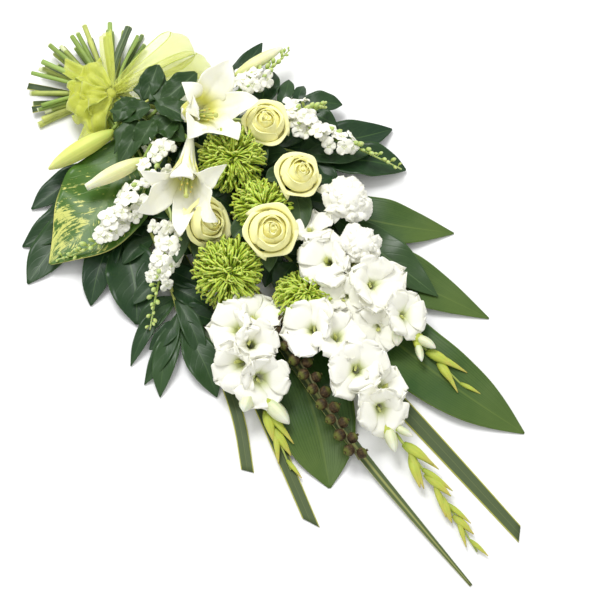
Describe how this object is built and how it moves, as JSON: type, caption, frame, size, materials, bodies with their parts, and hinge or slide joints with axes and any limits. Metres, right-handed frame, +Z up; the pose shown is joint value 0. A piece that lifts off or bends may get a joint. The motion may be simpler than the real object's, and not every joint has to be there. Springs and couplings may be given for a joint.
{
  "type": "funeral bouquet",
  "caption": "Tied funeral bouquet lying flat: white lilies, cream roses, green spider mums, carnations, gladioli and stocks over leaves, with a sheer ribbon tie",
  "frame": {"origin": "on the flat underside of the longest flax strap, on the surface that the bouquet lies on, near the middle of its length", "axes": "+Y towards the cut stem ends, +Z up from the surface, +X to the right of someone who looks from the trailing tips towards the cut stem ends"},
  "size_m": [0.5496, 0.9961, 0.1477],
  "materials": {
    "lily_petal": "waxy white with a green-yellow throat",
    "rose_petal": "velvety cream",
    "chrysanthemum_petal": "satin lime green",
    "carnation_petal": "matt white",
    "gladiolus_petal": "matt white with a green-yellow throat",
    "stock_petal": "matt white",
    "green_stem": "satin green",
    "dark_leaf": "glossy dark green with paler veins",
    "variegated_leaf": "satin green with yellow blotches",
    "broad_leaf": "satin green with parallel veins",
    "flax_strap": "satin grey-green with yellow edges",
    "seed_pod": "matt brown",
    "ribbon": "sheer lime organza"
  },
  "bodies": {
    "root": {"carnation_lower_bloom": "carnation_petal", "carnation_lower_stem": "green_stem", "carnation_upper_bloom": "carnation_petal", "carnation_upper_stem": "green_stem", "gladiolus_left_florets": "gladiolus_petal", "gladiolus_left_stalk": "green_stem", "gladiolus_middle_florets": "gladiolus_petal", "gladiolus_middle_stalk": "green_stem", "gladiolus_right_florets": "gladiolus_petal", "gladiolus_right_stalk": "green_stem", "ivy_trail": "dark_leaf", "leaf_below": "broad_leaf", "leaf_right_dark": "broad_leaf", "leaf_right_lower": "broad_leaf", "leaf_right_middle": "broad_leaf", "leaf_right_upper": "broad_leaf", "leafy_sprig_below": "dark_leaf", "leafy_stem_back": "dark_leaf", "leafy_stem_inner": "dark_leaf", "leafy_stem_left": "dark_leaf", "leafy_stem_lower_left": "dark_leaf", "leafy_stem_middle": "dark_leaf", "leafy_stem_right": "dark_leaf", "lily_lower_flower": "lily_petal", "lily_lower_stem": "green_stem", "lily_upper_flower": "lily_petal", "lily_upper_stem": "green_stem", "mum_left_bloom": "chrysanthemum_petal", "mum_left_stem": "green_stem", "mum_lower_bloom": "chrysanthemum_petal", "mum_lower_stem": "green_stem", "mum_middle_bloom": "chrysanthemum_petal", "mum_middle_stem": "green_stem", "mum_upper_bloom": "chrysanthemum_petal", "mum_upper_stem": "green_stem", "ribbon": "ribbon", "rose_left_bloom": "rose_petal", "rose_left_stem": "green_stem", "rose_middle_bloom": "rose_petal", "rose_middle_stem": "green_stem", "rose_right_bloom": "rose_petal", "rose_right_stem": "green_stem", "rose_upper_bloom": "rose_petal", "rose_upper_stem": "green_stem", "seed_pod_spike": "seed_pod", "stock_back_spray": "stock_petal", "stock_far_right_spray": "stock_petal", "stock_left_spray": "stock_petal", "stock_lower_left_spray": "stock_petal", "stock_middle_spray": "stock_petal", "stock_right_spray": "stock_petal", "strap_far_left": "flax_strap", "strap_left": "flax_strap", "strap_middle": "flax_strap", "strap_right": "flax_strap", "variegated_leaf": "variegated_leaf"}
  },
  "joints": []
}
